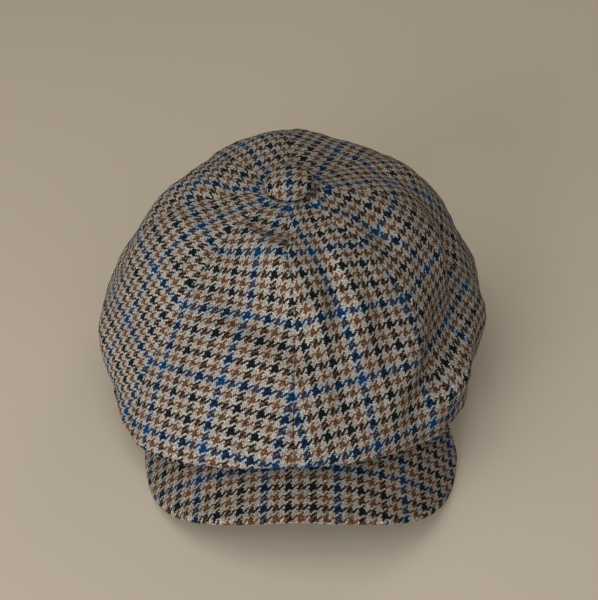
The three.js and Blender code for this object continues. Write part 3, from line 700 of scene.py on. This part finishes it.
def makePeak(material):
    # ruled from its root on the band to its edge, with the same upright thickness all over and a rounded nose
    even = np.linspace(1, -1, peak["stations"] + 1)
    side = np.sign(even) * np.abs(even) ** peak["crowdMiddle"]
    bandTurn = np.radians(peak["bandAngle"]) * side
    x = (band["halfWidth"] + crown["wallGap"]) * np.sin(bandTurn)
    y = -(band["halfLength"] + crown["wallGap"]) * np.cos(bandTurn)
    root = np.stack([x, y, bandFoot(y) + peak["rootRise"]], -1)
    share = clearDown((np.abs(side) - peak["tipStart"]) / (1 - peak["tipStart"])) * (1 - peak["tipShare"])
    reach = (peakEdge(np.radians(peak["edgeAngle"]) * side) - root) * (1 - share)[:, None]
    out = 1 - (1 - np.linspace(0, 1, peak["out"] + 1)) ** peak["crowdEdge"]
    top = root[:, None] + reach[:, None] * out[None, :, None]
    toEdge = (1 - out)[None] * np.linalg.norm(reach, axis=1)[:, None] / peak["noseLength"]
    full = np.sqrt(1 - (1 - np.minimum(toEdge, 1)) ** 2)
    inset = (peak["thick"] - peak["noseThick"]) * (1 - full) / 2
    wave = peak["wave"] * softWaves(top, peak["waveLength"], peak["waveSeed"])
    wave = wave * np.minimum(out * peak["waveRise"], 1)[None]
    upper, lower = top.copy(), top.copy()
    upper[..., 2] += wave - inset
    lower[..., 2] += wave + inset - peak["thick"]

    # flat cloth: arc length around the bend, and distance out along the slope
    fall = math.radians(peak["slope"])
    rel = top - np.array([0, -band["halfLength"], peak["arcZ"]])
    ahead = rel @ np.array([0, -math.cos(fall), -math.sin(fall)])
    lift = rel @ np.array([0, -math.sin(fall), math.cos(fall)]) + peak["arcR"]
    arc = peak["arcR"] * np.arctan2(rel[..., 0], lift)
    repeat = weave["stripe"] * weave["course"] * weave["overcheck"]
    warp = arc / peak["pitch"] - repeat / 2 + peak["blueMiddle"]
    weft = (ahead - peak["blueRow"]) / peak["pitch"] + peak["blueMiddle"]
    threads = np.stack([warp, weft], -1)
    edge = threads[:, -1:]
    onward = edge - threads[:, :1]
    onward = onward / np.linalg.norm(onward, axis=2, keepdims=True) * peak["noseThick"] / peak["pitch"]
    below = 2 * edge - threads + onward
    faces = shellFaces(peak["stations"] + 1, peak["out"] + 1).tolist()
    points = settled(fromBand(np.concatenate([upper.reshape(-1, 3), lower.reshape(-1, 3)])))
    return meshPiece("peakBoard", points, faces, np.concatenate([threads, below]),
                     material, ["peak"])


# Button: a cloth-covered dome

button = {
    "radius": 14.8, "height": 11.0, "dome": 2.2, "tuckR": 13.0, "edgeZ": 2.8, "lift": 0.8,
    "steps": 144, "rows": 56,
    "at": (-2.0, -2.5), "lean": 0.13,   # it sits lower at the front, where the crown falls away
    "gather": 0.2, "gatherCount": 22, "gatherHeight": 2.2, "gatherStray": 3,
    "pitch": 0.80, "blueRow": 20.5, "blueColumn": 0.0, "blueMiddle": 2.0,
    # tone of the button: painted shade, the same cloth drawn a little darker than the crown
    "look": {"tone": (0.95, 0.94, 0.92), "fleck": 1.0, "patch": 0.14, "patchScale": 40.0,
             "bump": 0.8, "depth": 0.32, "sheen": 0.05},
}


def makeButton(material):
    # a superellipse dome from its edge to the top, drawn in below, leaning, with fine gathers fading upwards
    turn = np.linspace(0, np.pi / 2, button["rows"])
    power = 2 / button["dome"]
    rise = button["edgeZ"] + (button["height"] - button["edgeZ"]) * np.sin(turn) ** power
    r = np.concatenate([[0, button["tuckR"]], button["radius"] * np.cos(turn) ** power])
    z = np.concatenate([[0, 0], rise])
    r[-1] = 0
    azimuth = np.linspace(0, 2 * np.pi, button["steps"] + 1)[:-1]
    fade = np.exp(-((z / button["gatherHeight"]) ** 2)) * (r > 0)
    fine = np.cos(azimuth * button["gatherCount"] + np.sin(azimuth * button["gatherStray"]))
    wide = r[:, None] + button["gather"] * fade[:, None] * fine
    x, y = wide * np.sin(azimuth), -wide * np.cos(azimuth)
    lean = button["lean"] * y * np.minimum(z / button["edgeZ"], 1)[:, None]
    height = crown["topZ"] + button["lift"] + z[:, None] + lean
    points = np.stack([x + button["at"][0], y + button["at"][1], height], -1)
    run = np.append(np.cumsum(np.hypot(np.diff(r[::-1]), np.diff(z[::-1])))[::-1], 0)
    warp = (run[:, None] * np.sin(azimuth) - button["blueColumn"]) / button["pitch"] + button["blueMiddle"]
    weft = (run[:, None] * np.cos(azimuth) - button["blueRow"]) / button["pitch"] + button["blueMiddle"]
    threads = np.stack([warp, weft], -1)
    steps = button["steps"]
    onePole = lambda grid: np.concatenate([grid[0, :1], grid[1:-1].reshape(-1, grid.shape[-1]), grid[-1, :1]])
    number = 1 + np.arange((len(r) - 2) * steps).reshape(-1, steps)
    beside = np.roll(number, -1, axis=1)
    quads = np.stack([number[:-1], beside[:-1], beside[1:], number[1:]], -1).reshape(-1, 4)
    foot = np.stack([beside[0], number[0], np.zeros_like(number[0])], -1)
    top = np.stack([number[-1], beside[-1], np.full_like(number[-1], number[-1, -1] + 1)], -1)
    faces = quads.tolist() + foot.tolist() + top.tolist()
    return meshPiece("topButton", onePole(points), faces, onePole(threads),
                     material, ["button"])


# Stage: pale floor, soft light and the photograph's camera

stage = {
    "floorSize": 8.0, "floor": (0.86, 0.74, 0.60, 1), "floorRough": 0.7,
    "cloudScale": 6.0, "cloudDetail": 3.0, "cloudRough": 0.2,   # soft clouds in the floor's roughness
    "air": (1.0, 0.84, 0.66, 1), "airStrength": 0.06, "lampDistance": 1.8,
}
lamps = [  # direction from the cap in degrees, size in metres, watts
    dict(name="frontWindow", azimuth=-30, elevation=12, size=1.0, energy=15.2, colour=(0.95, 0.98, 1.0)),
    dict(name="fillWindow", azimuth=15, elevation=35, size=1.6, energy=5.4, colour=(0.95, 0.98, 1.0)),
    dict(name="highWindow", azimuth=-76, elevation=64, size=2.4, energy=11.4, colour=(1.0, 0.98, 0.91)),
    dict(name="backWindow", azimuth=150, elevation=35, size=1.0, energy=2.6, colour=(1.0, 0.96, 0.86)),
]
camera = {"azimuth": -2.0, "elevation": 36.89, "distance": 817.0, "target": (3.63, 37.68, 40.0),
          "lens": 75.0, "clipStart": 0.01}


def makeStage():
    # a level square floor under the cap, and an even dim air around it
    half = stage["floorSize"] / 2
    square = [(-half, -half, 0), (half, -half, 0), (half, half, 0), (-half, half, 0)]
    mesh = bpy.data.meshes.new("floor")
    mesh.from_pydata(square, [], [range(len(square))])
    material = bpy.data.materials.new("paleFloor")
    material.use_nodes = True
    b = Nodes(material.node_tree)
    shader = material.node_tree.nodes["Principled BSDF"]
    shader.inputs["Base Color"].default_value = stage["floor"]
    where = b.add("ShaderNodeTexCoord")
    cloud = b.offMean(b.noise(where.outputs["Object"], stage["cloudScale"], stage["cloudDetail"]))
    rough = b.math("MULTIPLY_ADD", cloud, stage["cloudRough"], stage["floorRough"])
    b.feed(shader.inputs["Roughness"], rough)
    mesh.materials.append(material)
    floor = bpy.data.objects.new("floor", mesh)
    bpy.context.scene.collection.objects.link(floor)
    world = bpy.data.worlds.new("studioAir")
    world.use_nodes = True
    back = world.node_tree.nodes["Background"]
    back.inputs["Color"].default_value = stage["air"]
    back.inputs["Strength"].default_value = stage["airStrength"]
    bpy.context.scene.world = world


def towards(azimuth, elevation):
    # unit vector from the front's azimuth and the height over the table
    turn, rise = math.radians(azimuth), math.radians(elevation)
    return Vector((math.sin(turn) * math.cos(rise), -math.cos(turn) * math.cos(rise), math.sin(rise)))


def makeLamp(values, target):
    # a round soft lamp that faces the target from its direction
    lamp = bpy.data.lights.new(values["name"], "AREA")
    lamp.shape = "DISK"
    lamp.size = values["size"]
    lamp.energy = values["energy"]
    lamp.color = values["colour"]
    obj = bpy.data.objects.new(values["name"], lamp)
    way = towards(values["azimuth"], values["elevation"])
    obj.location = target + way * stage["lampDistance"]
    obj.rotation_euler = way.to_track_quat("Z", "Y").to_euler()
    bpy.context.scene.collection.objects.link(obj)


def makeCamera():
    # looks at the target from the photograph's direction
    back = towards(camera["azimuth"], camera["elevation"])
    data = bpy.data.cameras.new("photoView")
    data.lens = camera["lens"]
    data.clip_start = camera["clipStart"]
    view = bpy.data.objects.new("photoView", data)
    view.location = (Vector(camera["target"]) + back * camera["distance"]) * mm
    view.rotation_euler = back.to_track_quat("Z", "Y").to_euler()
    bpy.context.scene.collection.objects.link(view)
    bpy.context.scene.camera = view


makeBand()
print("band made")
crownTweed = clothMaterial("crownTweed", crown["look"])
for number in range(1, len(seams["rimR"]) + 1):
    makeGore(number, crownTweed)
print("crown gores made")
makePeak(clothMaterial("peakTweed", peak["look"]))
print("peak made")
makeButton(clothMaterial("buttonTweed", button["look"]))
print("button made")
makeStage()
for lamp in lamps:
    makeLamp(lamp, Vector(camera["target"]) * mm)
makeCamera()
bpy.context.scene.view_settings.view_transform = "Standard"
print("stage made")
